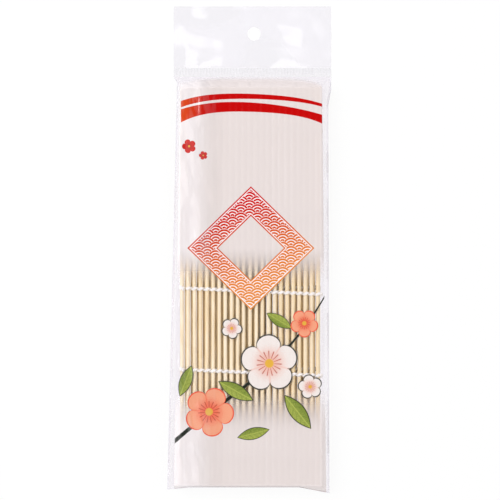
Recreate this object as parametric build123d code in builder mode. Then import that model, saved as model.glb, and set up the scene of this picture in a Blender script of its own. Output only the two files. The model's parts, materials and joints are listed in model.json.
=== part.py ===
"""A bamboo rolling mat, folded in three, in its clear header bag with a hang hole.

The pack lies on its back: +X is to the right and +Y towards the header as seen from the front,
and +Z points out of the front. The origin is under the middle of the pack, where it lies.
"""

import os
from math import atan2, tan

from build123d import *

# The mat: near-round sticks of many flats, held by rows of twined cord and folded in three
stick_length = 238.0
stick_radius = 1.3
stick_sides = 12
stick_pitch = 3.7
columns = 23
bottom_columns = 19
sticks_per_node = 3
mat_right = 0.5
cord_rows = 5
lowest_row_up = 18.5
highest_row_down = 24.5

# The bag in plan: how much wider and longer than the mat it is, and the shape of its edges
header_spare_width = 10.5
bottom_spare_width = 13.3
header_lean = 1.1
header_height = 36.9
crimp_height = 5.4
slope_room = 6.4
mat_end_room = 1.8
left_shoulder = 2.0
left_shoulder_drop = 3.6
right_shoulder = 1.7
right_shoulder_start = 7.8
right_shoulder_drop = 16.8
left_corner_drop = 1.3
right_corner_drop = 3.5
left_flare_width = 13.2
right_flare_width = 18.0
seam_width = 0.8

# Film, seams and the fold line of the header
film = 0.1
header_ply = 0.1
seam_thickness = 0.25
fold_gap = 0.6
hang_hole_radius = 4.0
hang_hole_right = 2.9
hang_hole_down = 16.5

# Each row is two flat strands that pass over and under the sticks in turn
strand_thickness = 0.5
strand_width = 0.9
strand_gap = 0.1
strand_clearance = 0.03
over_half = 1.15
ring_clearance = 0.04
ring_sides = 12

# Room between the mat and the film round it
under_room = 0.35
over_room = 0.3
side_room = 0.4
end_room = 0.3
tent_margin = 0.1

# Levels
strand_level = stick_radius + strand_clearance + strand_thickness / 2
strand_reach = strand_level + strand_thickness / 2
layer_pitch = stick_pitch
bottom_level = film + under_room + strand_reach
levels = {
    "bottom": bottom_level,
    "middle": bottom_level + layer_pitch,
    "top": bottom_level + 2 * layer_pitch,
}
film_inside = levels["top"] + strand_reach + over_room

# Sizes of the whole pack, whose width runs from the bottom left corner to the header's right edge
mat_width = (columns - 1) * stick_pitch + 2 * stick_radius
header_width = mat_width + header_spare_width
bottom_width = mat_width + bottom_spare_width
pack_width = bottom_width + header_lean
body_length = slope_room + stick_length + mat_end_room
pack_length = header_height + crimp_height + body_length + right_corner_drop

# Lines across the pack, from the bottom up
bottom_edge = right_corner_drop - pack_length / 2
stick_bottom = bottom_edge + mat_end_room
stick_top = stick_bottom + stick_length
crimp_bottom = stick_top + slope_room
crimp_top = crimp_bottom + crimp_height
header_bottom = crimp_top + fold_gap
top_edge = pack_length / 2

# Lines along the pack
header_right = pack_width / 2
header_left = header_right - header_width
bottom_left = -pack_width / 2
bottom_right = bottom_left + bottom_width

# The corners between which the body's sides run straight
left_side = (
    (header_left + left_shoulder, crimp_bottom - left_shoulder_drop),
    (bottom_left, bottom_edge - left_corner_drop),
)
right_side = (
    (header_right - right_shoulder, crimp_bottom - right_shoulder_drop),
    (bottom_right, bottom_edge - right_corner_drop),
)

# The mat's places
cord_row_pitch = (stick_length - lowest_row_up - highest_row_down) / (cord_rows - 1)
row_places = [stick_bottom + lowest_row_up + row * cord_row_pitch for row in range(cord_rows)]
column_places = [mat_right + (k - (columns - 1) / 2) * stick_pitch for k in range(columns)]
bottom_places = column_places[columns - bottom_columns:]
left_place = column_places[0]
right_place = column_places[-1]

os.makedirs("parts", exist_ok=True)


def save(built, name):
    """Label a finished piece and write it."""
    built.part.label = name
    export_step(built.part, f"parts/{name}.step")


# Outlines of the bag's body, whose film narrows below the header where the mat fills it
with BuildSketch() as body_outline:
    with BuildLine():
        Polyline(
            (header_left, crimp_bottom + seam_width),
            (header_left, crimp_bottom),
            *left_side,
            (bottom_left + left_flare_width, bottom_edge),
            (bottom_right - right_flare_width, bottom_edge),
            *reversed(right_side),
            (header_right, crimp_bottom - right_shoulder_start),
            (header_right, crimp_bottom + seam_width),
            close=True,
        )
    make_face()

with BuildSketch() as body_inside:
    add(body_outline.sketch)
    offset(amount=-seam_width, kind=Kind.INTERSECTION)
    with Locations((0, crimp_bottom + pack_length / 2)):
        Rectangle(2 * pack_width, pack_length, mode=Mode.SUBTRACT)

# Back film, flat on the table
with BuildPart() as back_film:
    add(body_inside.sketch)
    extrude(amount=film)
save(back_film, "back_film")


# Front film: a flat margin on the back film, and a tent over the folded mat
def along(side, y):
    """Where one of the body's straight sides is at a height y."""
    (x_high, y_high), (x_low, y_low) = side
    return x_high + (x_low - x_high) * (y_high - y) / (y_high - y_low)


def tent(inset, height):
    """The block under the film, from its foot on the back film up to the mat's outline."""
    side_inset = seam_width + tent_margin + inset
    foot_low = bottom_edge + side_inset
    foot_high = crimp_bottom - tent_margin - inset
    foot_left = along(left_side, foot_low) + side_inset
    foot_right = along(right_side, foot_low) - side_inset
    head_left = along(left_side, foot_high) + side_inset
    head_right = along(right_side, foot_high) - side_inset
    roof_half = (right_place - left_place) / 2 + strand_reach + side_room - inset + film
    roof_low = stick_bottom - end_room - film + inset
    roof_high = stick_top + end_room + film - inset
    with BuildPart() as block:
        with BuildSketch(Plane.XY.offset(film)):
            Polygon(
                (foot_left, foot_low),
                (foot_right, foot_low),
                (head_right, foot_high),
                (head_left, foot_high),
                align=None,
            )
        with BuildSketch(Plane.XY.offset(height)):
            Polygon(
                (mat_right - roof_half, roof_low),
                (mat_right + roof_half, roof_low),
                (mat_right + roof_half, roof_high),
                (mat_right - roof_half, roof_high),
                align=None,
            )
        loft(ruled=True)
    return block.part


outer_tent = tent(0, film_inside + film)
inner_tent = tent(film, film_inside)
with BuildPart() as front_film:
    with BuildSketch(Plane.XY.offset(film)):
        add(body_inside.sketch)
    extrude(amount=film)
    add(outer_tent)
    add(inner_tent, mode=Mode.SUBTRACT)
save(front_film, "front_film")

# Side seams and the closed bottom edge, where both films run together
with BuildPart() as seam_ring:
    with BuildSketch():
        add(body_outline.sketch)
        add(body_inside.sketch, mode=Mode.SUBTRACT)
        with Locations((0, crimp_bottom + pack_length / 2)):
            Rectangle(2 * pack_width, pack_length, mode=Mode.SUBTRACT)
    extrude(amount=seam_thickness)

bottom_cut = Plane.XZ.offset(-(bottom_edge + seam_width))
for name, keep in (("side_seam_left", Keep.BOTTOM), ("side_seam_right", Keep.TOP)):
    with BuildPart() as side_seam:
        add(seam_ring.part)
        split(bisect_by=bottom_cut, keep=Keep.BOTTOM)
        split(bisect_by=Plane.YZ, keep=keep)
    save(side_seam, name)

with BuildPart() as bottom_seam:
    add(seam_ring.part)
    split(bisect_by=bottom_cut, keep=Keep.TOP)
save(bottom_seam, "bottom_seam")

# Crimped weld between the body and the header
with BuildPart() as crimp:
    with BuildSketch():
        with Locations((header_left, crimp_bottom)):
            Rectangle(header_width, crimp_height, align=(Align.MIN, Align.MIN))
    extrude(amount=seam_thickness)
save(crimp, "crimp")

# Header: two plies of film with the hang hole through both
for name, level in (("header_back", 0), ("header_front", header_ply)):
    with BuildPart() as ply:
        with BuildSketch(Plane.XY.offset(level)):
            with Locations((header_left, header_bottom)):
                Rectangle(header_width, top_edge - header_bottom, align=(Align.MIN, Align.MIN))
            with Locations((hang_hole_right, top_edge - hang_hole_down)):
                Circle(hang_hole_radius, mode=Mode.SUBTRACT)
        extrude(amount=header_ply)
    save(ply, name)


# Sticks: neighbours in one layer share a node, and the two that turn with a fold stand alone
def save_sticks(name, places, level):
    """Sticks of one layer, from their top ends down."""
    with BuildPart() as sticks:
        with BuildSketch(Plane.XZ.offset(-stick_top)):
            with Locations([(x, level) for x in places]):
                RegularPolygon(stick_radius, stick_sides)
        extrude(amount=stick_length)
    save(sticks, name)


def save_layer(layer, places):
    """A layer's sticks, a few to a node."""
    for number, first in enumerate(range(0, len(places), sticks_per_node), start=1):
        save_sticks(f"sticks_{layer}_{number}", places[first:first + sticks_per_node], levels[layer])


save_layer("bottom", bottom_places)
save_layer("middle", column_places[:-1])
save_layer("top", column_places[1:])
save_sticks("stick_fold_right", [right_place], levels["middle"])
save_sticks("stick_fold_left", [left_place], levels["top"])


# Cords: the wave of one strand over and under the sticks, mitred where it turns
drop_angle = atan2(2 * strand_level, stick_pitch - 2 * over_half)
mitre = strand_thickness / 2 * tan(drop_angle / 2)
strand_places = [strand_gap / 2 + strand_width, -strand_gap / 2]
row_half = strand_gap / 2 + strand_width
loop_inside = stick_radius + strand_clearance


def end_reach(end, run):
    """How far a strand goes on past the middle of the first or last stick."""
    return {"open": over_half, "ring": 0, "loop": loop_inside + strand_thickness / 2}.get(end, run)


def strand_outline(places, level, over, left_end, right_end):
    """The points round a strand in the plane across the sticks."""
    upper = []
    lower = []
    for number, x in enumerate(places):
        side = over if number % 2 == 0 else -over
        left = left_end if number == 0 else None
        right = right_end if number == len(places) - 1 else None
        for edge, turn in ((upper, side), (lower, -side)):
            run = over_half + turn * mitre
            height = level + side * strand_level
            height += strand_thickness / 2 if edge is upper else -strand_thickness / 2
            edge.append((x - end_reach(left, run), height))
            edge.append((x + end_reach(right, run), height))
    return upper + lower[::-1]


def draw_ring():
    """The turn of cord round a stick at a fold."""
    RegularPolygon(stick_pitch / 2 - ring_clearance, ring_sides)
    RegularPolygon(loop_inside, ring_sides, major_radius=False, mode=Mode.SUBTRACT)


def save_cord(name, places, level, row, left_end, right_end):
    """One row of one layer: two strands that take turns, joined at its end turn."""
    with BuildPart() as cord:
        for over, start in zip((1, -1), strand_places):
            with BuildSketch(Plane.XZ.offset(-(row + start))):
                Polygon(*strand_outline(places, level, over, left_end, right_end), align=None)
            extrude(amount=strand_width)
        for end, x, outwards in ((left_end, places[0], -1), (right_end, places[-1], 1)):
            if end == "open":
                continue
            with BuildSketch(Plane.XZ.offset(-(row + row_half))):
                if end == "ring":
                    with Locations((x, level)):
                        draw_ring()
                else:
                    with Locations((x + outwards * (loop_inside + strand_thickness / 2), level)):
                        Rectangle(strand_thickness, 2 * strand_reach)
            extrude(amount=2 * row_half)
    save(cord, name)


for number, row in enumerate(row_places, start=1):
    save_cord(f"cord_bottom_{number}", bottom_places, levels["bottom"], row, "loop", "ring")
    save_cord(f"cord_middle_{number}", column_places[:-1], levels["middle"], row, "ring", "open")
    save_cord(f"cord_top_{number}", column_places[1:], levels["top"], row, "open", "loop")

for name, x, layer in (("cord_rings_right", right_place, "middle"), ("cord_rings_left", left_place, "top")):
    with BuildPart() as rings:
        for row in row_places:
            with BuildSketch(Plane.XZ.offset(-(row + row_half))):
                with Locations((x, levels[layer])):
                    draw_ring()
            extrude(amount=2 * row_half)
    save(rings, name)
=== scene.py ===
"""A bamboo rolling mat, folded in three, in its clear header bag, laid on its back."""

import json

import bpy
import numpy as np
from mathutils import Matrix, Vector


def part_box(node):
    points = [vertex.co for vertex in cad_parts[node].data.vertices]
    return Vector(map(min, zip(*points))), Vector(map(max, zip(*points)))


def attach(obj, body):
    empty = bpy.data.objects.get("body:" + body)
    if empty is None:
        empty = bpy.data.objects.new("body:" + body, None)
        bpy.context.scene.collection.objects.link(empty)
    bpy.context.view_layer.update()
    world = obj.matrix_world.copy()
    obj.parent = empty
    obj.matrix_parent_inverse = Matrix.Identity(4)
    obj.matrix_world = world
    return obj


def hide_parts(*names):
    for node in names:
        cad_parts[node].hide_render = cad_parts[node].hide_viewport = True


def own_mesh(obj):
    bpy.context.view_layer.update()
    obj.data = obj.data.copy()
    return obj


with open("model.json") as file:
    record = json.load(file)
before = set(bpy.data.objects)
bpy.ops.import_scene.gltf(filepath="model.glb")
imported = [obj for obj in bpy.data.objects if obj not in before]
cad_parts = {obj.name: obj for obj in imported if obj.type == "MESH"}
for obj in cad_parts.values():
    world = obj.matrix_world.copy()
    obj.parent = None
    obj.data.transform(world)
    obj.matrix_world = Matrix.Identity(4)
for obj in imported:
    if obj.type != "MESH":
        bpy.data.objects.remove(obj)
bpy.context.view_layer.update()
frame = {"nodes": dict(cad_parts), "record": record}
MM = 0.001

# The camera looks straight down on the pack, as over a copy stand. Its long lens keeps the sides
# of the pack upright, and its view is 300 mm across.
VIEW_WIDTH = 300 * MM
VIEW_RIGHT = 0.48 * MM
VIEW_UP = -0.12 * MM
CAMERA_HEIGHT = 5.0
CAMERA_REACH = 20
SENSOR_WIDTH = 36
camera_data = bpy.data.cameras.new("copy_stand")
camera_data.sensor_width = SENSOR_WIDTH
camera_data.lens = SENSOR_WIDTH * CAMERA_HEIGHT / VIEW_WIDTH
camera_data.clip_end = CAMERA_REACH
camera = bpy.data.objects.new("copy_stand", camera_data)
camera.location = (VIEW_RIGHT, VIEW_UP, CAMERA_HEIGHT)
bpy.context.scene.collection.objects.link(camera)
bpy.context.scene.camera = camera
bpy.context.scene.view_settings.view_transform = "Standard"


# Bamboo sticks: split, shaved almost round and cut square at both ends. No two have the same
# tone or are quite straight, and the fibres show as fine streaks along them. The sizes of all
# pieces of the pack are in millimetres.
STICK_RADIUS = 1.3
STICK_PITCH = 3.7
STICK_SIZE_SHARES = (0.93, 1.0)
STICK_OVAL_SHARE = 0.03
STICK_CORNER_SHARE = 0.012
STICK_TAPER_SHARE = 0.02
STICK_BEND = 0.14
STICK_BEND_HALF_WAVES = (1.3, 3.1)
STICK_LIFT = 0.05
STICK_LIFT_HALF_WAVES = 1.1
STICK_END_SHARES = np.array([0, 0, 0.0012])
STICK_END_WIDTH_SHARES = np.array([0.2, 0.86, 0.97])
STICK_BODY_SHARE = 0.004
STICK_ANGLES = 16
STICK_STEPS = 44
MAT_REACH = (-40.2, 41.2)
NESTING = {"middle": 1.2, "bottom": 1.05}
NESTING_TURN = {"middle": 8.0, "bottom": -60.0}
NESTING_BLEND = 6
NESTING_HOLD_POWER = 30
STICK_TONES = 0.8
STICK_TONE_SPREAD = 1.6
# The sticks' flanks are darkened by a painted shade, as shade falls between the sticks.
STICK_FLANK_SHADE = 0.7
BAMBOO_LIGHT = (0.985, 0.885, 0.67, 1)
BAMBOO_DARK = (0.90, 0.705, 0.385, 1)
BAMBOO_STREAK = (0.68, 0.45, 0.20, 1)
random = np.random.default_rng(12)


class Value:
    """A number or colour on a surface. Sums and products of it add Math nodes to its material."""

    def __init__(self, paint, socket):
        self.paint = paint
        self.socket = socket

    def math(self, operation, *others):
        inputs = dict(enumerate((self, *others)))
        return self.paint.node("ShaderNodeMath", {"operation": operation}, inputs)

    def __add__(self, other):
        return self.math("ADD", other)

    def __mul__(self, other):
        return self.math("MULTIPLY", other)

    def __sub__(self, other):
        return self.math("SUBTRACT", other)

    def __rsub__(self, other):
        return self * -1 + other

    def __truediv__(self, other):
        return self.math("DIVIDE", other)

    def __pow__(self, other):
        return self.math("POWER", other)

    def __abs__(self):
        return self.math("ABSOLUTE")

    def rise(self, start, end):
        """0 before start and 1 after end, with a smooth step between; falls where end is lower."""
        settings = {"interpolation_type": "SMOOTHSTEP"}
        low, high, first, last = (start, end, 0, 1) if start < end else (end, start, 1, 0)
        inputs = {0: self, 1: low, 2: high, 3: first, 4: last}
        return self.paint.node("ShaderNodeMapRange", settings, inputs)

    def band(self, low, high, soft):
        """1 from low to high and 0 beyond; each edge is a smooth step of soft to both sides."""
        return self.rise(low - soft, low + soft) * self.rise(high + soft, high - soft)


class Paint:
    """The nodes of a material or a world, with one method that makes any of them."""

    def __init__(self, holder):
        holder.use_nodes = True
        self.holder = holder
        self.tree = holder.node_tree
        self.tree.nodes.clear()

    def node(self, kind, settings=None, inputs=None, output=0):
        made = self.tree.nodes.new(kind)
        for name, setting in (settings or {}).items():
            setattr(made, name, setting)
        for name, given in (inputs or {}).items():
            if isinstance(given, Value):
                self.tree.links.new(given.socket, made.inputs[name])
            else:
                made.inputs[name].default_value = given
        return Value(self, made.outputs[output] if made.outputs else None)

    def places(self):
        """Object coordinates in millimetres, as three values."""
        found = self.node("ShaderNodeTexCoord", output="Object")
        axes = [self.node("ShaderNodeSeparateXYZ", None, {0: found}, axis) for axis in range(3)]
        return [axis * (1 / MM) for axis in axes]

    def noise(self, x, y, z, scale, detail=2.0):
        place = self.node("ShaderNodeCombineXYZ", None, {0: x, 1: y, 2: z})
        inputs = {"Vector": place, "Scale": scale, "Detail": detail}
        return self.node("ShaderNodeTexNoise", None, inputs)

    def blend(self, share, first, second):
        """The first colour where share is 0 and the second where it is 1."""
        inputs = {0: share, 6: first, 7: second}
        return self.node("ShaderNodeMix", {"data_type": "RGBA"}, inputs, 2)

    def bump(self, height, strength, distance):
        inputs = {"Height": height, "Strength": strength, "Distance": distance}
        return self.node("ShaderNodeBump", None, inputs)

    def principled(self, **inputs):
        given = {name.replace("_", " "): value for name, value in inputs.items()}
        return self.node("ShaderNodeBsdfPrincipled", None, given)

    def mix(self, share, first, second):
        return self.node("ShaderNodeMixShader", None, {0: share, 1: first, 2: second})

    def finish(self, shader, output="ShaderNodeOutputMaterial"):
        self.node(output, None, {"Surface": shader})
        return self.holder


def grid_faces(rows, columns, wrap):
    """Quads between neighbouring rows and columns; wrap joins the last column to the first."""
    quads = columns if wrap else columns - 1
    row, column = np.meshgrid(np.arange(rows - 1), np.arange(quads), indexing="ij")
    following = (column + 1) % columns
    corners = [row * columns + column, row * columns + following]
    corners += [(row + 1) * columns + following, (row + 1) * columns + column]
    return np.stack(corners, axis=-1).reshape(-1, 4)


def add_piece(name, points, material, body, wrap=False, caps=False, tones_and_shade=None):
    """A smooth piece from grids of points, shaped (copies, rows, columns, 3), in millimetres."""
    copies, rows, columns, _ = points.shape
    steps = np.arange(copies)[:, None, None] * rows * columns
    faces = (grid_faces(rows, columns, wrap)[None] + steps).reshape(-1, 4).tolist()
    if caps:
        first = np.arange(columns)
        ends = np.stack([first[::-1], first + (rows - 1) * columns])
        faces += (ends[None] + steps).reshape(-1, columns).tolist()
    mesh = bpy.data.meshes.new(name)
    mesh.from_pydata((points.reshape(-1, 3) * MM).tolist(), [], faces)
    mesh.polygons.foreach_set("use_smooth", np.ones(len(faces), dtype=bool))
    if tones_and_shade is not None:
        tone = mesh.attributes.new("tone", "FLOAT", "POINT")
        point_tones = np.broadcast_to(tones_and_shade, points.shape[:3]).ravel()
        tone.data.foreach_set("value", point_tones.astype(np.float32))
    mesh.materials.append(material)
    piece = bpy.data.objects.new(name, mesh)
    bpy.context.scene.collection.objects.link(piece)
    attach(piece, body)
    return piece


def box_mm(node):
    """A node's lowest and highest corner in millimetres."""
    low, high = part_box(node)
    return np.array(low) / MM, np.array(high) / MM


def bamboo_finish():
    """Pale bamboo with streaks along Y that are a hundred times as long as they are wide."""
    paint = Paint(bpy.data.materials.new("shaved_bamboo"))
    x, y, z = paint.places()
    # The tone attribute holds each stick's own tone plus a painted shade on its flanks.
    tone = paint.node("ShaderNodeAttribute", {"attribute_name": "tone"}, output="Fac")
    streaks = paint.noise(x * 2.2, y * 0.02, z * 2.2, scale=1.6, detail=4.0)
    patches = paint.noise(x * 0.3, y * 0.05, z * 0.3, scale=1.0, detail=2.0)
    fibres = paint.noise(x * 6, y * 0.1, z * 6, scale=1.0, detail=2.0)
    tone = tone * 0.75 + patches.rise(0.45, 0.75) * 0.35
    base = paint.blend(tone, BAMBOO_LIGHT, BAMBOO_DARK)
    base = paint.blend(streaks.rise(0.58, 0.78) * 0.4, base, BAMBOO_STREAK)
    normal = paint.bump(streaks + fibres * 0.5, strength=0.35, distance=0.2 * MM)
    return paint.finish(paint.principled(Base_Color=base, Roughness=0.52, Normal=normal))


def stick_points(places, low, high, level):
    """Sticks as profiles carried along Y: the radius falls at both cut ends, and the middle
    wanders by two slow sine waves to the side and one up and down."""
    count = len(places)
    body = np.linspace(STICK_BODY_SHARE, 1 - STICK_BODY_SHARE, STICK_STEPS)
    along = np.concatenate([STICK_END_SHARES, body, 1 - STICK_END_SHARES[::-1]])
    ends = STICK_END_WIDTH_SHARES
    width = np.concatenate([ends, np.ones(STICK_STEPS), ends[::-1]])[None, :, None]
    t = along[None, :, None]
    turn = np.linspace(0, 2 * np.pi, STICK_ANGLES, endpoint=False)[None, None, :]
    phase = random.uniform(0, 2 * np.pi, (6, count, 1, 1))
    size = STICK_RADIUS * random.uniform(*STICK_SIZE_SHARES, (count, 1, 1))
    oval = 1 - STICK_OVAL_SHARE * (1 + np.cos(2 * turn + phase[0]))
    oval -= STICK_CORNER_SHARE * (1 + np.cos(3 * turn + phase[1]))
    slow, fast = (waves * np.pi * t for waves in STICK_BEND_HALF_WAVES)
    bend = (np.sin(slow + phase[2]) + 0.5 * np.sin(fast + phase[3])) / 1.5
    lift = np.sin(STICK_LIFT_HALF_WAVES * np.pi * t + phase[4])
    taper = 1 - STICK_TAPER_SHARE * (1 + np.sin(9 * t + phase[5]))
    radius = size * width * oval * taper
    x = np.array(places)[:, None, None] + STICK_BEND * bend + radius * np.sin(turn)
    z = level + STICK_LIFT * lift + radius * np.cos(turn)
    y = low + (high - low) * t + 0 * x
    return np.stack([x, y, z], axis=-1)


def nested(points, layer):
    """The lower layers settle into the gaps of the layer above: their sticks lie to one side, the
    bottom layer's to the right, and the middle layer's to the left in its left part and to the
    right in its right part. A high power of the place takes the shift away at a fold, where the
    folded sticks hold them."""
    x = points[..., 0]
    share = np.clip((2 * x - sum(MAT_REACH)) / (MAT_REACH[1] - MAT_REACH[0]), -1, 1)
    towards = np.tanh((x - NESTING_TURN.get(layer, 0.0)) / NESTING_BLEND)
    free = 1 - np.abs(share) ** NESTING_HOLD_POWER
    points[..., 0] = x + NESTING.get(layer, 0.0) * towards * free
    return points


def add_sticks(node, body):
    """All sticks of one CAD node, at the mat's pitch from one side of its box to the other. Their
    flanks are painted darker than their crowns, as shade between the sticks."""
    low, high = box_mm(node)
    count = round((high[0] - low[0] - 2 * STICK_RADIUS) / STICK_PITCH) + 1
    places = low[0] + STICK_RADIUS + STICK_PITCH * np.arange(count)
    points = stick_points(places, low[1], high[1], (low[2] + high[2]) / 2)
    points = nested(points, node.split("_")[1])
    # Painted shade on the flanks of each stick.
    flank_shade = np.abs(np.sin(np.linspace(0, 2 * np.pi, STICK_ANGLES, endpoint=False))) ** 3
    tones_and_shade = STICK_TONES * random.beta(STICK_TONE_SPREAD, STICK_TONE_SPREAD, (count, 1, 1))
    tones_and_shade = tones_and_shade + STICK_FLANK_SHADE * flank_shade
    piece = add_piece(
        f"bamboo_{node}", points, bamboo, body, wrap=True, caps=True, tones_and_shade=tones_and_shade
    )
    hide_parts(node)


bamboo = bamboo_finish()
for body, nodes in frame["record"]["behaviour"]["bodies"].items():
    for node in nodes:
        if node.startswith("stick"):
            add_sticks(node, body)


# Cords: rows of two strands of undyed cotton twine. Each strand goes over one stick and under
# the next while the other goes the opposite way, and both cross in every gap.
STRAND_LEVEL = 1.5
STRAND_SIDE = 0.74
STRAND_HALF_WIDTH = 0.9
STRAND_HALF_HEIGHT = 0.25
STRAND_FLATNESS = 2
STRAND_ANGLES = 12
STEPS_A_STICK = 30
PLIES = 3
PLY_TURN = 1.25
PLY_RIDGE_SHARE = 0.13
ROW_NUMBERS = range(1, 6)
ROW_SLOPE = -0.045
ROW_ENDS = {"bottom": ("knot", "ring"), "middle": ("ring", "open"), "top": ("open", "knot")}
END_MARGINS = {"open": 1.15, "ring": 1.81, "knot": 1.83}
PAST_END_SHARES = {"open": 0.31, "ring": 0.0, "knot": 0.5}
KNOT_RADIUS = 0.62
KNOT_SWELL = 0.3
KNOT_HALF_LENGTH = 0.45
KNOT_NUDGE = (0.01, 0, 0)
KNOT_STEPS = 90
RING_STEPS = 120
RING_SPREAD_SHARE = 0.95
COTTON = (0.98, 0.95, 0.91, 1)
COTTON_SHADE = (0.80, 0.74, 0.64, 1)


def cotton_finish():
    """Soft white cotton: fine fibres in the colour and a bump of the same fibres."""
    paint = Paint(bpy.data.materials.new("cotton_twine"))
    x, y, z = paint.places()
    fibres = paint.noise(x * 3, y * 3, z * 3, scale=2.5, detail=4.0)
    base = paint.blend(fibres.rise(0.5, 0.85) * 0.5, COTTON, COTTON_SHADE)
    normal = paint.bump(fibres, strength=0.5, distance=0.2 * MM)
    return paint.finish(paint.principled(Base_Color=base, Roughness=0.85, Normal=normal))


def strand_tube(path, outward):
    """A tube of three plies round a path. Its profile is an ellipse whose ridges turn with the
    length of the path; outward points away from the row's axis."""
    along = np.gradient(path, axis=0)
    step = np.linalg.norm(along, axis=1, keepdims=True)
    along /= step
    length = np.cumsum(step[:, 0])[:, None]
    out = outward - (outward * along).sum(1, keepdims=True) * along
    out /= np.linalg.norm(out, axis=1, keepdims=True)
    side = np.cross(along, out)
    angle = np.linspace(0, 2 * np.pi, STRAND_ANGLES, endpoint=False)[None, :]
    ply_angle = angle - 2 * np.pi * length / (PLIES * PLY_TURN)
    ridge = 1 + PLY_RIDGE_SHARE * np.cos(PLIES * ply_angle)
    a = (STRAND_HALF_WIDTH * ridge * np.sin(angle))[..., None]
    b = (STRAND_HALF_HEIGHT * ridge * np.cos(angle))[..., None]
    return path[:, None] + a * side[:, None] + b * out[:, None]


def add_twine(name, tubes, body):
    """Closed tubes of twine as one piece."""
    return add_piece(name, tubes, cotton, body, wrap=True, caps=True)


def row_drift(x, layer):
    """The top layer's rows run slightly down to the right, because the sticks were pushed along as
    they were tied. The other layers' rows go on straight from its left end."""
    return ROW_SLOPE * (x if layer == "top" else MAT_REACH[0] + 0 * x)


def row_place(layer, number):
    """The middle of a CAD row along the sticks, and its level."""
    low, high = box_mm(f"cord_{layer}_{number}")
    return (low[1] + high[1]) / 2, (low[2] + high[2]) / 2


def twined_strand(first, count, row, layer, level, phase, ends):
    """A strand's path: a flattened cosine over and under the sticks, a sine from side to side.
    At an end that turns with a fold it follows the last stick's round instead of the gap."""
    begin = -PAST_END_SHARES[ends[0]]
    finish = count - 1 + PAST_END_SHARES[ends[1]]
    u = np.linspace(begin, finish, int((finish - begin) * STEPS_A_STICK))
    wave = np.tanh(STRAND_FLATNESS * np.cos(np.pi * u) * phase) / np.tanh(STRAND_FLATNESS)
    x = first + STICK_PITCH * u
    y = row + row_drift(x, layer) + STRAND_SIDE * np.sin(np.pi * u) * phase
    path = np.stack([x, y, level + STRAND_LEVEL * wave], axis=1)
    turn = np.linspace(0, np.pi, STEPS_A_STICK // 2)[1:, None]
    for where, kind in zip((0, -1), ends):
        if kind != "ring":
            continue
        towards = 1.0 if where else -1.0
        over = np.sign(path[where, 2] - level)
        centre = np.array([path[where, 0], path[where, 1], level])
        rounds = [towards * np.sin(turn), 0 * turn, over * np.cos(turn)]
        arc = centre + STRAND_LEVEL * np.concatenate(rounds, axis=1)
        path = np.concatenate([path, arc] if where else [arc[::-1], path])
    return path


def knot_tube(centre):
    """An overhand knot: a curve that winds three times round a small ring while it goes round
    twice. A tiny nudge keeps its outward direction from vanishing."""
    t = np.linspace(0, 2 * np.pi, KNOT_STEPS)
    reach = KNOT_RADIUS + KNOT_SWELL * np.cos(3 * t)
    local = [KNOT_HALF_LENGTH * np.sin(3 * t), reach * np.cos(2 * t), reach * np.sin(2 * t)]
    path = centre + np.stack(local, axis=1)
    return strand_tube(path, path - centre + KNOT_NUDGE)


def add_row(layer, number, ends):
    """One row of one layer: two strands, and a knot at an end that is tied."""
    node = f"cord_{layer}_{number}"
    low, high = box_mm(node)
    row, level = row_place(layer, number)
    first = low[0] + END_MARGINS[ends[0]]
    count = round((high[0] - END_MARGINS[ends[1]] - first) / STICK_PITCH) + 1
    last = first + STICK_PITCH * (count - 1)
    axis_ends = (first if ends[0] == "ring" else -np.inf, last if ends[1] == "ring" else np.inf)
    tubes = []
    for phase in (1, -1):
        path = twined_strand(first, count, row, layer, level, phase, ends)
        axis_x = np.clip(path[:, 0], *axis_ends)
        axis = np.stack([axis_x, row + row_drift(axis_x, layer), 0 * axis_x + level], axis=1)
        tubes.append(strand_tube(path, path - axis))
    piece = add_twine(f"twine_{layer}_{number}", nested(np.stack(tubes), layer), f"mat_{layer}")
    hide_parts(node)
    for kind, x in zip(ends, (first - STICK_PITCH / 2, last + STICK_PITCH / 2)):
        if kind == "knot":
            tube = knot_tube(np.array([x, row + row_drift(x, layer), level]))
            add_twine(f"knot_{layer}_{number}", nested(tube, layer)[None], f"mat_{layer}")


def add_fold_rings(node, body, layer):
    """At a fold the strands of each row turn twice round the axis that the fold turns about."""
    low, high = box_mm(node)
    middle_x = (low[0] + high[0]) / 2
    level = (low[2] + high[2]) / 2
    turn = np.linspace(0, 4 * np.pi, RING_STEPS)
    coils = []
    for number in ROW_NUMBERS:
        row = row_place(layer, number)[0] + row_drift(middle_x, "bottom")
        y = row + STRAND_SIDE * RING_SPREAD_SHARE * (turn / (2 * np.pi) - 1)
        outward = STRAND_LEVEL * np.stack([np.sin(turn), 0 * turn, np.cos(turn)], axis=1)
        axis = np.stack([0 * turn + middle_x, y, 0 * turn + level], axis=1)
        coils.append(strand_tube(axis + outward, outward))
    piece = add_twine(f"twine_turns_{body}", np.stack(coils), body)
    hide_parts(node)


cotton = cotton_finish()
for layer, ends in ROW_ENDS.items():
    for number in ROW_NUMBERS:
        add_row(layer, number, ends)
add_fold_rings("cord_rings_right", "fold_right", "middle")
add_fold_rings("cord_rings_left", "fold_left", "top")


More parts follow.
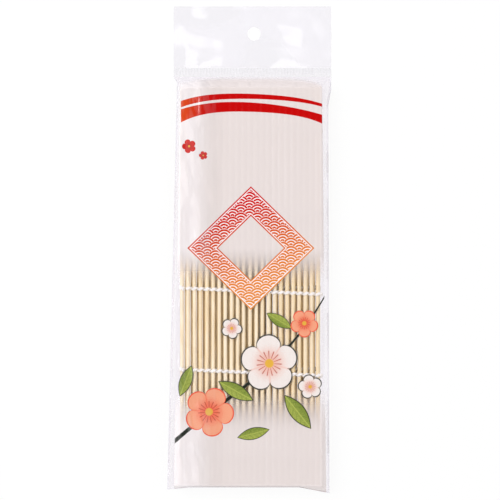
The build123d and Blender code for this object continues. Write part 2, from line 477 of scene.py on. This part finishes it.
# Front film: thin clear plastic over the folded mat. It is welded to the back film at both sides,
# rests on the cord rows, sags a little between them, and comes down to the crimp in small folds.
# At the top end of the slope there are a pucker and a short ridge.
SEAM_WIDTH = 0.8
MAT_LEFT = -41.3
MAT_RIGHT = 42.3
MAT_TOP = 97.4
MAT_BOTTOM = -140.8
MAT_END_ROOM = 0.2
MAT_ROWS_END = 97.57618
FILM_TOP = 103.7
SLOPE_TOP = 103.6
SLOPE_POWER = 0.7
FILM_LOWEST = 0.15
FILM_FOOT = 0.2
FILM_ON_STICKS = 11.2
FILM_ON_CORDS = 0.42
FILM_CORD_REACH = 5.5
FILM_STICK_WAVE = 0.03
FILM_SLOW_WAVE = 0.05
FILM_FOLD_SHARE = 0.05
FILM_EDGE_POWER = 2.6
PUCKER = (35.9, 101.4)
PUCKER_HEIGHT = 0.3
PUCKER_RADIUS = 3
PUCKER_RAYS = 7
RIDGE = (1.7, 102.0)
RIDGE_HEIGHT = 0.35
RIDGE_HALF_WIDTH = 0.5
RIDGE_HALF_LENGTH = 1.6
SWELL_INSET = 1
ROW_SIDES = np.array([box_mm(f"cord_top_{number}")[0][1] for number in ROW_NUMBERS])
CORD_ROWS = ROW_SIDES + SWELL_INSET
LEFT_EDGE = ((-143.8, -49.2), (100.1, -43.3), (103.7, -45.3))
RIGHT_EDGE = ((-146.0, 48.1), (86.9, 47.5), (95.9, 49.2), (103.7, 49.2))
BOTTOM_EDGE = ((-49.2, -143.8), (-36.0, -142.5), (30.1, -142.5), (48.1, -146.0))
BOTTOM_ENDS = (-49.0, 48.0)
FILM_COLUMNS = (18, 200, 18)
FILM_ROWS = (10, 330, 36)


def edge_at(edge, place):
    """The edge's place across from its place along, on straight runs between its corners."""
    corners = np.array(edge)
    return np.interp(place, corners[:, 0], corners[:, 1])


def drawn_over(share):
    """From 0 at a weld to 1 over the mat: steep at first, as film drawn over an edge."""
    return 1 - (1 - np.clip(share, 0, 1)) ** FILM_EDGE_POWER


def slow_wave(x, y, across, up, start=0.0):
    """A sine wave that goes on by so many radians for each millimetre across and up."""
    return np.sin(across * x + up * y + start)


def film_height(x, y, left, right):
    """Height of the front film: steep at the sides and the bottom, in folds that fan out from the
    crimp at the top, and almost flat over the mat. The pucker is a cosine of seven times the
    angle round its middle, and the ridge is a narrow bell."""
    rows = CORD_ROWS + row_drift(x, "top")[..., None]
    over = FILM_ON_STICKS + FILM_STICK_WAVE * np.cos(2 * np.pi * (x - 0.5) / STICK_PITCH)
    over += FILM_ON_CORDS * np.exp(-(((y[..., None] - rows) / FILM_CORD_REACH) ** 2)).sum(-1)
    over += FILM_SLOW_WAVE * slow_wave(x, y, 0.19, 0.045) * slow_wave(x, y, -0.08, 0.055, 1)
    sides = drawn_over((x - left - SEAM_WIDTH) / (MAT_LEFT - left - SEAM_WIDTH))
    sides *= drawn_over((right - SEAM_WIDTH - x) / (right - SEAM_WIDTH - MAT_RIGHT))
    bottom = edge_at(BOTTOM_EDGE, x) + SEAM_WIDTH * 0.6
    foot = drawn_over((y - bottom) / (MAT_BOTTOM - MAT_END_ROOM - bottom))
    e = np.clip((SLOPE_TOP - y) / (SLOPE_TOP - MAT_TOP), 0, 1)
    slope = (e * e * (1.6 - 0.6 * e)) ** SLOPE_POWER
    fan = x * (0.75 + 0.35 * e)
    folds = np.sin(0.5 * fan + 1.3 * np.sin(0.17 * fan))
    folds += 0.5 * np.sin(1.35 * fan + 2 * np.sin(0.23 * x))
    slope *= 1 - FILM_FOLD_SHARE * np.sin(np.pi * e) * folds
    height = FILM_FOOT + (over - FILM_FOOT) * sides * foot * slope
    across, up = x - PUCKER[0], y - PUCKER[1]
    near = np.exp(-(across**2 + up**2) / PUCKER_RADIUS**2) * np.sin(np.pi * e)
    height += PUCKER_HEIGHT * near * np.cos(PUCKER_RAYS * np.arctan2(up, across) + 1)
    across, up = (x - RIDGE[0]) / RIDGE_HALF_WIDTH, (y - RIDGE[1]) / RIDGE_HALF_LENGTH
    height += RIDGE_HEIGHT * np.exp(-(across**2) - up**2)
    return np.maximum(height, FILM_LOWEST)


def run_shares(counts):
    """Shares from 0 to 3 along three runs, each with its own number of steps."""
    runs = [np.linspace(run, run + 1, count, run == 2) for run, count in enumerate(counts)]
    return np.concatenate(runs)


def along_runs(shares, places):
    """The place at each share, on three straight runs between four places."""
    found = places[0]
    for run in range(3):
        found = found + (places[run + 1] - places[run]) * np.clip(shares - run, 0, 1)
    return found


def front_film_points():
    """Columns from the left edge to the right edge and rows from the bottom edge to the crimp. The
    mat's rows end a little way down the slope, and the slope's own rows count from the mat's
    end."""
    u = run_shares(FILM_COLUMNS)[None, :]
    v = run_shares(FILM_ROWS)[:, None]
    rough_x = along_runs(u, (BOTTOM_ENDS[0], MAT_LEFT, MAT_RIGHT, BOTTOM_ENDS[1]))
    bottom = edge_at(BOTTOM_EDGE, rough_x)
    y = along_runs(v, (bottom, MAT_BOTTOM + MAT_END_ROOM, MAT_ROWS_END, FILM_TOP))
    y = np.where(v > 2, MAT_TOP + (FILM_TOP - MAT_TOP) * (v - 2), y)
    left = edge_at(LEFT_EDGE, y)
    right = edge_at(RIGHT_EDGE, y)
    x = along_runs(u, (left, MAT_LEFT, MAT_RIGHT, right))
    return np.stack([x, y, film_height(x, y, left, right)], axis=-1)


# Print on the front film: white ink with two arched red stripes, a lozenge frame filled with wave
# scales, and a plum twig over a clear window that fades in and out over the sticks. Its places
# count from the middle of the pack.
INK_COVER = 0.91
INK_WHITE = (0.807, 0.725, 0.71, 1)
# The pale ink below is the colour of the frame's light lines, and on the left of the panel it is
# also a painted reflection that lightens the white ink.
PALE_INK_AND_GLARE = (0.92, 0.86, 0.88, 1)
INK_GLARE_FROM = (-20, -36)
INK_TAUT_FROM = (-31, -14)
PANEL_LEFT = -42.95
PANEL_LEFT_LEAN = 0.0145
PANEL_RIGHT = 44.7
PANEL_RIGHT_LEAN = -0.0105
PANEL_SOFT = 0.25
PANEL_TOP = 102.4
PANEL_TOP_WAVES = 0.8
PANEL_CORNER_REACH = 31
PANEL_TOP_FADE = (-1.2, 1.8)
WINDOW_TOP = (2.0, -22.0)
WINDOW_BOTTOM = (-112.0, -82.0)
WINDOW_BOTTOM_POWER = 1.4
STRIPE_RED = (0.53, 0.001, 0.001, 1)
# The stripes turn orange towards their left ends: a painted reflection on the red ink.
STRIPE_GLARE_ORANGE = (0.72, 0.08, 0.012, 1)
STRIPE_GLARE_FROM = (-24, -46)
STRIPE_SOFT = 0.12
STRIPE_STATIONS = (-40.9, -37.5, -31.0, -22.0, -11.0, -1.5, 11.0, 24.5, 34.0, 40.5, 43.7)
STRIPE_EDGES = (
    (
        (89.0, 90.3, 91.8, 92.9, 93.5, 93.6, 92.9, 91.5, 90.1, 88.5, 87.4),
        (85.2, 86.4, 88.2, 89.4, 90.2, 90.5, 90.0, 88.9, 87.8, 86.6, 85.5),
    ),
    (
        (83.9, 85.3, 86.9, 87.8, 88.3, 88.4, 87.6, 85.4, 83.3, 81.9, 80.9),
        (76.1, 77.9, 80.2, 81.8, 82.6, 82.8, 82.2, 80.7, 78.9, 77.0, 75.4),
    ),
)
FRAME_MIDDLE = (1.0, 1.0)
FRAME_HALF = (38.0, 37.0)
FRAME_BAND_SHARES = (0.52, 1.0)
FRAME_WAVE_SHARES = (0.558, 0.962)
FRAME_GAP_SHARES = ((0.549, 0.567), (0.953, 0.971))
FRAME_SOFT_SHARE = 0.004
WAVE_RADIUS = 5.0
WAVE_RINGS = 3.0
WAVE_START = 0.35
WAVE_LINE = (0.35, 0.6)
WAVE_TOP = (0.578, 0.003, 0.003, 1)
WAVE_BOTTOM = (0.78, 0.25, 0.025, 1)
WAVE_COLOUR_FROM = (34, -34)
OUTLINE_DARK = (0.018, 0.022, 0.016, 1)
TWIG = ((-44.0, -114.0), (-24.0, -98.0), (-6.0, -84.0), (12.0, -70.0), (26.0, -55.0), (44.0, -30.0))
TWIG_HALF_WIDTH = 0.95
TWIG_THINNING = 0.008
TWIG_SOFT = 0.15
LEAVES = (
    ((-8.0, -84.5), 12.0, 4.4, -0.5),
    ((-38.0, -78.5), 10.0, 3.8, 1.2),
    ((29.0, -97.0), 13.0, 4.8, -0.9),
    ((18.0, -42.5), 9.0, 3.4, 2.6),
    ((2.5, -110.0), 10.0, 3.6, 0.25),
)
LEAF_LIGHT = (0.42, 0.47, 0.10, 1)
LEAF_DARK = (0.13, 0.19, 0.03, 1)
LEAF_VEINS = 22
LEAF_VEIN_SLANT = 7
BLOSSOMS = (
    ((33.0, -44.0), 8.5, 0.3, "coral"),
    ((12.0, -68.0), 17.5, 0.9, "white"),
    ((-24.0, -97.0), 15.0, 0.1, "coral"),
    ((-10.5, -47.0), 6.5, 1.4, "white"),
    ((36.5, -82.0), 7.5, 2.0, "white"),
    ((-36.0, 62.0), 4.2, 0.6, "red"),
    ((-27.5, 56.5), 2.6, 1.9, "red"),
)
PETALS = 5
PETAL_NOTCH_SHARE = 0.36
PETAL_RIM = 0.55
PETAL_SOFT = 0.12
PETAL_COLOURS = {
    "coral": ((0.80, 0.10, 0.05, 1), (0.86, 0.36, 0.22, 1)),
    "white": ((0.80, 0.42, 0.34, 1), (0.84, 0.77, 0.74, 1)),
    "red": ((0.50, 0.01, 0.01, 1), (0.578, 0.02, 0.015, 1)),
}
THREADS = 15
THREAD_RED = (0.45, 0.05, 0.02, 1)
HEART_YELLOW = (0.75, 0.42, 0.06, 1)
CLEAR_FILM = (0.995, 0.978, 1.0, 1)
FILM_ROUGHNESS = 0.1
GLOSS_FACE_ON = 0.045
GLOSS_EDGE_ON = 0.9


def curve_through(x, stations, heights):
    """The height of a smooth curve near the stations, as powers of x added from the inside out."""
    coefficients = np.polyfit(stations, heights, 4).tolist()
    total = coefficients[0]
    for coefficient in coefficients[1:]:
        total = x * total + coefficient
    return total


def stripe_mask(x, y, edges):
    """1 between two curves through the given heights at the stripe's stations."""
    upper, lower = (curve_through(x, STRIPE_STATIONS, edge) for edge in edges)
    below_upper = (upper - y).rise(-STRIPE_SOFT, STRIPE_SOFT)
    return below_upper * (y - lower).rise(-STRIPE_SOFT, STRIPE_SOFT)


def wave_lines(x, y):
    """Overlapping scales of rings, as waves are drawn on old textiles. Rows of circles lie half
    a radius apart and half a circle sideways. A point belongs to the lowest circle that holds
    it, and its distance from that circle's middle gives the rings."""
    first = (y / (WAVE_RADIUS / 2) - 2).math("CEIL")
    found = None
    for step in (2, 1, 0):
        row = first + step
        across = (x + row * WAVE_RADIUS).math("WRAP", WAVE_RADIUS, -WAVE_RADIUS)
        up = y - row * (WAVE_RADIUS / 2)
        distance = (across * across + up * up).math("SQRT") / WAVE_RADIUS
        inside = distance.math("LESS_THAN", 1.0)
        found = distance if found is None else distance * inside + found * (1 - inside)
    return (found * (2 * np.pi * WAVE_RINGS) - WAVE_START).math("COSINE").rise(*WAVE_LINE)


def wave_frame(x, y):
    """A lozenge frame, by the sum of both distances from its middle, each as a share of its half:
    the whole frame, the part of it that the wave scales fill, and the two light lines in it."""
    across = abs(x - FRAME_MIDDLE[0]) / FRAME_HALF[0]
    up = abs(y - FRAME_MIDDLE[1]) / FRAME_HALF[1]
    share = across + up
    scales = share.band(*FRAME_WAVE_SHARES, FRAME_SOFT_SHARE)
    inner, outer = (share.band(*gap, FRAME_SOFT_SHARE) for gap in FRAME_GAP_SHARES)
    return share.band(*FRAME_BAND_SHARES, FRAME_SOFT_SHARE), scales, inner + outer


def draw_twig(x, y, speckle):
    """A rough line along a curve through the twig's places; it thins towards the right."""
    line = curve_through(x, *zip(*TWIG))
    half_width = TWIG_HALF_WIDTH - x * TWIG_THINNING + speckle * 0.5
    from_line = abs(y - line + (speckle - 0.5) * 0.8)
    return (half_width - from_line).rise(-TWIG_SOFT, TWIG_SOFT), OUTLINE_DARK


def draw_leaf(paint, x, y, speckle, place, length, width, turn):
    """A pointed leaf: where the distance across plus the square of that along is below 1."""
    across, up = x - place[0], y - place[1]
    cos, sin = float(np.cos(turn)), float(np.sin(turn))
    along = (across * cos + up * sin) / length
    side = (up * cos - across * sin) / width
    share = abs(side) + along * along
    veins = (along * LEAF_VEINS - abs(side) * LEAF_VEIN_SLANT).math("COSINE").rise(0.5, 1.0)
    shade = speckle.rise(0.3, 0.7) * 0.5 + side.rise(-0.8, 0.8) * 0.5
    green = paint.blend(shade, LEAF_LIGHT, LEAF_DARK)
    green = paint.blend(veins * 0.35, green, LEAF_DARK)
    green = paint.blend(abs(side).rise(0.09, 0.03), green, LEAF_LIGHT)
    green = paint.blend(share.rise(0.84, 0.92), green, OUTLINE_DARK)
    return share.rise(1.03, 0.97), green


def draw_blossom(paint, x, y, speckle, place, size, turn, kind):
    """A blossom whose outline is a root of the cosine of half its petals times the angle. Its
    petals pale outwards from a yellow heart with dark threads round it."""
    inner, outer = PETAL_COLOURS[kind]
    across, up = x - place[0], y - place[1]
    angle = up.math("ARCTAN2", across) + turn
    out = (across * across + up * up).math("SQRT") / size
    petal = abs((angle * (PETALS / 2)).math("COSINE"))
    share = out / (petal**0.5 * PETAL_NOTCH_SHARE + (1 - PETAL_NOTCH_SHARE))
    paleness = out.rise(0.1, 0.75) * 0.9 + speckle.rise(0.35, 0.65) * 0.2
    folds = petal.rise(0.22, 0.0) * share.rise(0.2, 0.6) * 0.5
    threads = (angle * THREADS).math("COSINE").rise(0.55, 0.9)
    threads = threads * out.rise(0.12, 0.2) * out.rise(0.46, 0.4)
    rim = 0.0 if kind == "red" else PETAL_RIM / size
    rim_colour = OUTLINE_DARK if kind == "white" else inner
    soft = PETAL_SOFT / size
    colour = paint.blend(paleness, inner, outer)
    colour = paint.blend(folds, colour, inner)
    colour = paint.blend(threads * 0.8, colour, THREAD_RED)
    colour = paint.blend(out.rise(0.17, 0.13), colour, HEART_YELLOW)
    colour = paint.blend(share.rise(0.97 - rim, 1.0 - rim), colour, rim_colour)
    return share.rise(1.0 + soft, 1.0 - soft), colour


def draw_ink(paint, x, y, panel):
    """The ink's colour and how much of the panel it covers. Each motif is laid over what is there
    already, and covers the panel fully."""
    window = y.rise(*WINDOW_TOP) * y.rise(*WINDOW_BOTTOM) ** WINDOW_BOTTOM_POWER
    top_waves = paint.noise(x * 0.15, 0.0, 0.0, scale=1.0, detail=1.0) * PANEL_TOP_WAVES
    top_edge = PANEL_TOP - (x / PANEL_CORNER_REACH) ** 4 + top_waves
    cover = panel * (1 - window) * (top_edge - y).rise(*PANEL_TOP_FADE) * INK_COVER
    # The white ink pales towards the left of the panel: a painted reflection of the lamp on the
    # film.
    base = paint.blend(x.rise(*INK_GLARE_FROM) * 0.8, INK_WHITE, PALE_INK_AND_GLARE)
    frame_mask, scales, gaps = wave_frame(x, y)
    frame_tone = paint.blend((y - x * 0.4).rise(*WAVE_COLOUR_FROM), WAVE_TOP, WAVE_BOTTOM)
    frame_ink = (1 - wave_lines(x, y) * scales) * (1 - gaps)
    stripes = stripe_mask(x, y, STRIPE_EDGES[0]) + stripe_mask(x, y, STRIPE_EDGES[1])
    stripes = stripes * x.band(STRIPE_STATIONS[0], STRIPE_STATIONS[-1], STRIPE_SOFT)
    speckle = paint.noise(x, y, 0.0, scale=1.6, detail=4.0)
    motifs = [(frame_mask, paint.blend(frame_ink, PALE_INK_AND_GLARE, frame_tone))]
    # The orange at the stripes' left ends is a painted reflection on the red ink.
    motifs += [(stripes, paint.blend(x.rise(*STRIPE_GLARE_FROM), STRIPE_RED, STRIPE_GLARE_ORANGE))]
    motifs += [draw_twig(x, y, speckle)]
    motifs += [draw_leaf(paint, x, y, speckle, *leaf) for leaf in LEAVES]
    motifs += [draw_blossom(paint, x, y, speckle, *blossom) for blossom in BLOSSOMS]
    for shape, colour in motifs:
        base = paint.blend(shape, base, colour)
        cover = cover.math("MAXIMUM", shape)
    return base, cover * panel


def clear_film(paint, normal, tint, gloss_roughness):
    """Clear film: what lies behind it shows through, and it mirrors more at flat angles, from
    both sides alike: a small share face on, plus the fourth power of how edge-on it is."""
    facing = paint.node("ShaderNodeLayerWeight", None, {"Blend": 0.5, "Normal": normal}, 1)
    inputs = {"Color": (1, 1, 1, 1), "Roughness": gloss_roughness, "Normal": normal}
    gloss = paint.node("ShaderNodeBsdfGlossy", None, inputs)
    through = paint.node("ShaderNodeBsdfTransparent", None, {"Color": tint})
    return paint.mix(facing**4 * GLOSS_EDGE_ON + GLOSS_FACE_ON, through, gloss)


def printed_film():
    """Clear film with a printed panel, both of whose sides lean a little. The film is loose at
    the left, where the ink is shiny and creased, and taut in the rest, where it is soft."""
    paint = Paint(bpy.data.materials.new("printed_film"))
    x, y, z = paint.places()
    from_left = x - PANEL_LEFT - y * PANEL_LEFT_LEAN
    from_right = y * PANEL_RIGHT_LEAN + PANEL_RIGHT - x
    soft_sides = (-PANEL_SOFT, PANEL_SOFT)
    panel = from_left.rise(*soft_sides) * from_right.rise(*soft_sides)
    base, cover = draw_ink(paint, x, y, panel)
    taut = x.rise(*INK_TAUT_FROM)
    wrinkle = paint.noise(x * 0.1, y * 0.03, z * 0.1, scale=1.0, detail=2.0)
    crease = paint.noise(x * 0.11 + y * 0.03, y * 0.035 - x * 0.04, 0.0, scale=1.0, detail=0.5)
    normal = paint.bump(wrinkle * 0.3 + crease * (1 - taut) * 5, strength=1.0, distance=0.8 * MM)
    looks = {"Base_Color": base, "Normal": normal}
    soft = paint.principled(Roughness=0.3, Specular_IOR_Level=0.08, **looks)
    shiny = paint.principled(Roughness=0.1, Specular_IOR_Level=0.6, **looks)
    ink = paint.mix(taut * 0.95, shiny, soft)
    film = clear_film(paint, normal, CLEAR_FILM, FILM_ROUGHNESS)
    return paint.finish(paint.mix(cover, film, ink))


front = add_piece(
    "front_film_printed", front_film_points()[None], printed_film(), "bag"
)
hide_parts("front_film")
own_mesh(front)


# Back film, side seams and bottom seam: the same clear film, welded flat. Welds turn it slightly
# milky where both films melted together. Slow waves break its gloss, and milky white patches
# that follow them are painted reflections.
WELD_ROUGHNESS = 0.06
WELD_WAVES = (0.036, 0.034, 0.03)
WELD_WAVES_START = 2.1
# Where the waves rise past these levels, diffuse white is mixed in as a painted reflection.
WELD_GLARE_FROM = (0.42, 0.56)
WELD_EVEN_SHARE = 0.3
FLAT_SWING = 2 * MM
MILK_AND_GLARE_WHITE = (0.975, 0.955, 0.995, 1)
BACK_TINT = (0.998, 0.988, 1.0, 1)
BACK_MILK_AND_GLARE = 0.04
SEAM_TINT = (0.99, 0.985, 1.0, 1)
SEAM_MILK_AND_GLARE = 0.25


def weld_finish(name, tint, milk_and_glare, swing=FLAT_SWING):
    """Clear film with slow waves in its gloss, and a share of diffuse white: the even part is the
    film's milkiness, and the part that follows the waves is a painted reflection."""
    paint = Paint(bpy.data.materials.new(name))
    x, y, z = (place * scale for place, scale in zip(paint.places(), WELD_WAVES))
    waves = paint.noise(x + WELD_WAVES_START, y, z, scale=1.0, detail=0.6)
    normal = paint.bump(waves, strength=0.5, distance=swing)
    film = clear_film(paint, normal, tint, WELD_ROUGHNESS)
    milky = paint.principled(Base_Color=MILK_AND_GLARE_WHITE, Roughness=0.3, Normal=normal)
    # The part of the white share that follows the waves is a painted reflection; the even part is
    # milky film.
    share = waves.rise(*WELD_GLARE_FROM) * milk_and_glare + milk_and_glare * WELD_EVEN_SHARE
    return paint.finish(paint.mix(share, film, milky))


def dress_node(node, material):
    """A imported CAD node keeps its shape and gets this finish."""
    piece = frame["nodes"][node]
    piece.data.materials.clear()
    piece.data.materials.append(material)


back_finish = weld_finish("back_film", BACK_TINT, BACK_MILK_AND_GLARE)
seam_finish = weld_finish("welded_seam", SEAM_TINT, SEAM_MILK_AND_GLARE)
dress_node("back_film", back_finish)
for node in ("side_seam_left", "side_seam_right", "bottom_seam"):
    dress_node(node, seam_finish)


# Crimp: the band where both films and the header are welded shut between ribbed jaws. It is
# greyer than the film, and its ribs run up and down.
CRIMP_COLUMNS = 840
CRIMP_ROWS = 16
CRIMP_LIFT = 0.05
CRIMP_RIB_PITCH = 0.9
CRIMP_RIB_HEIGHT = 0.02
CRIMP_EDGE_SHARE = 1 / 6
CRIMP_TINT = (0.97, 0.97, 0.985, 1)
CRIMP_GREY = (0.75, 0.735, 0.775, 1)
CRIMP_PALE = (0.78, 0.755, 0.80, 1)
CRIMP_GREY_FROM = (105.0, 107.6)
CRIMP_RIBS_FROM = (104.6, 106.6)
CRIMP_ROUGHNESS = 0.3


def crimp_points():
    """A flat band with ribs: its height is a cosine across, which fades out at both edges."""
    low, high = box_mm("crimp")
    x = np.linspace(low[0], high[0], CRIMP_COLUMNS)[None, :]
    share = np.linspace(0, 1, CRIMP_ROWS)[:, None]
    fade = np.clip(np.minimum(share, 1 - share) / CRIMP_EDGE_SHARE, 0, 1)
    ribs = np.cos(2 * np.pi * x / CRIMP_RIB_PITCH)
    y = low[1] + (high[1] - low[1]) * share
    z = high[2] + CRIMP_LIFT + CRIMP_RIB_HEIGHT * fade * ribs
    return np.stack([x + 0 * y, y + 0 * x, z], axis=-1)


def crimp_finish():
    """Milky crushed film: it hides about half of what is behind it, most along its upper edge."""
    paint = Paint(bpy.data.materials.new("ribbed_weld"))
    x, y, z = paint.places()
    grain = paint.noise(x * 0.5, y * 0.2, 0.0, scale=1.0, detail=2.0)
    normal = paint.bump(grain, strength=0.2, distance=0.3 * MM)
    tone = paint.blend(y.rise(*CRIMP_GREY_FROM), CRIMP_PALE, CRIMP_GREY)
    milky = paint.principled(Base_Color=tone, Roughness=0.5, Normal=normal)
    film = clear_film(paint, normal, CRIMP_TINT, CRIMP_ROUGHNESS)
    ribs = (x * (2 * np.pi / CRIMP_RIB_PITCH)).math("COSINE").rise(-0.6, 0.9)
    ribs = ribs * y.rise(*CRIMP_RIBS_FROM)
    return paint.finish(paint.mix(ribs * 0.3 + grain.rise(0.3, 0.7) * 0.15 + 0.35, film, milky))


crimp = add_piece("ribbed_crimp", crimp_points()[None], crimp_finish(), "bag")
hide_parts("crimp")


# Header: two plies of clear film above the crimp, with a punched hang hole. The film is never
# quite flat, so its gloss breaks into large soft lobes, and milky white patches of painted
# reflection follow the same waves.
HOLE = np.array((2.9, 129.5))
HOLE_RADIUS = 4.0
HEADER_OVERLAP = 0.5
HEADER_STEPS_A_SIDE = 90
HEADER_RINGS = 70
HEADER_RING_POWER = 1.15
HEADER_RISE = 12
HEADER_MEAN_LIFT = 1.2
HEADER_LIFTS = {"header_back": 0.12, "header_front": 0.35}
HEADER_TINT = (0.99, 0.982, 1.0, 1)
HEADER_MILK_AND_GLARE = 0.1
HEADER_SWING = 10 * MM


def header_points(node, lift):
    """A sheet with a hole: straight lines run from the hole's circle to the outline, and slow
    waves lift the sheet between the crimp and its free edge."""
    low, high = box_mm(node)
    low[1] -= HEADER_OVERLAP
    side = np.linspace(-1, 1, HEADER_STEPS_A_SIDE, endpoint=False)
    one = np.ones_like(side)
    sides = ((side, -one), (one, side), (-side, one), (-one, -side))
    outline = np.concatenate([np.stack(places, axis=1) for places in sides])
    border = (low[:2] + high[:2]) / 2 + outline * (high[:2] - low[:2]) / 2
    away = border - HOLE
    circle = HOLE + HOLE_RADIUS * away / np.linalg.norm(away, axis=1, keepdims=True)
    share = (np.linspace(0, 1, HEADER_RINGS) ** HEADER_RING_POWER)[:, None, None]
    places = circle[None] * (1 - share) + border[None] * share
    x, y = places[..., 0], places[..., 1]
    rise = np.clip((y - low[1]) / HEADER_RISE, 0, 1) ** 2
    waves = slow_wave(x, y, 0.085, 0.06, 1) * slow_wave(x, y, 0.05, -0.09, 2)
    waves += 0.4 * np.sin(0.21 * x + 0.5 * np.sin(0.2 * y))
    z = high[2] + rise * lift * (HEADER_MEAN_LIFT + waves)
    return np.stack([x, y, z], axis=-1)


header_finish = weld_finish("header_film", HEADER_TINT, HEADER_MILK_AND_GLARE, HEADER_SWING)
for node, lift in HEADER_LIFTS.items():
    points = header_points(node, lift)[None]
    ply = add_piece(f"clear_{node}", points, header_finish, "header", wrap=True)
    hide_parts(node)


# Floor and lamps: a pale plain table in an even white room, under a large soft lamp from the
# upper left, a small weak one almost overhead, and a soft one from the right.
FLOOR_HALF = 2.0
FLOOR_LEVEL = -0.2 * MM
FLOOR_WHITE = (0.95, 0.95, 0.95, 1)
FLOOR_GREY = (0.94, 0.94, 0.94, 1)
PLAIN_WHITE = (1, 1, 1, 1)
DIRECT_WHITE = 0.9
ROOM_LIGHT = 0.76
CEILING_FROM = (0.93, 0.97)
CEILING_LOSS = 0.85
LAMPS = (
    ("window_lamp", (-1.0, 0.5, 1.1), 0.8, 11.8),
    ("near_lamp", (-0.3, 0.1, 1.5), 0.36, 0.5),
    ("fill_lamp", (1.0, -0.4, 1.2), 1.0, 3),
)


def floor_finish():
    """Pale grey that keeps the shadow of the pack. Seen directly, most of it is plain white."""
    paint = Paint(bpy.data.materials.new("white_table"))
    seen = paint.node("ShaderNodeLightPath", output="Is Camera Ray")
    mirrored = paint.node("ShaderNodeLightPath", output="Is Glossy Ray")
    grain = paint.noise(*[place * 0.02 for place in paint.places()], scale=1.0, detail=2.0)
    base = paint.blend(grain.rise(0.4, 0.6) * 0.1, FLOOR_WHITE, FLOOR_GREY)
    table = paint.node("ShaderNodeBsdfDiffuse", None, {"Color": base})
    white = paint.node("ShaderNodeEmission", None, {"Color": PLAIN_WHITE, "Strength": 1.0})
    return paint.finish(paint.mix((seen + mirrored) * DIRECT_WHITE, table, white))


def room_light():
    """Even white light that falls off straight above, where the camera and the dark ceiling are."""
    paint = Paint(bpy.data.worlds.new("room"))
    seen = paint.node("ShaderNodeLightPath", output="Is Camera Ray")
    mirrored = paint.node("ShaderNodeLightPath", output="Is Glossy Ray")
    direction = paint.node("ShaderNodeTexCoord")
    height = paint.node("ShaderNodeSeparateXYZ", None, {0: direction}, 2)
    ceiling = 1 - height.rise(*CEILING_FROM) * CEILING_LOSS
    strength = ceiling * (mirrored * (1 - ROOM_LIGHT) + ROOM_LIGHT) * (1 - seen) + seen
    inputs = {"Color": PLAIN_WHITE, "Strength": strength}
    background = paint.node("ShaderNodeBackground", None, inputs)
    return paint.finish(background, "ShaderNodeOutputWorld")


def add_lamp(name, place, size, power):
    """A square soft lamp that faces the middle of the pack."""
    data = bpy.data.lights.new(name, "AREA")
    data.size = size
    data.energy = power
    lamp = bpy.data.objects.new(name, data)
    lamp.location = place
    lamp.rotation_euler = (-lamp.location).to_track_quat("-Z", "Y").to_euler()
    bpy.context.scene.collection.objects.link(lamp)


floor_outline = ((-1, -1), (1, -1), (1, 1), (-1, 1))
floor_corners = [(x * FLOOR_HALF, y * FLOOR_HALF, FLOOR_LEVEL) for x, y in floor_outline]
floor_mesh = bpy.data.meshes.new("table")
floor_mesh.from_pydata(floor_corners, [], [(0, 1, 2, 3)])
floor_mesh.materials.append(floor_finish())
floor = bpy.data.objects.new("table", floor_mesh)
bpy.context.scene.collection.objects.link(floor)
bpy.context.scene.world = room_light()
for lamp in LAMPS:
    add_lamp(*lamp)
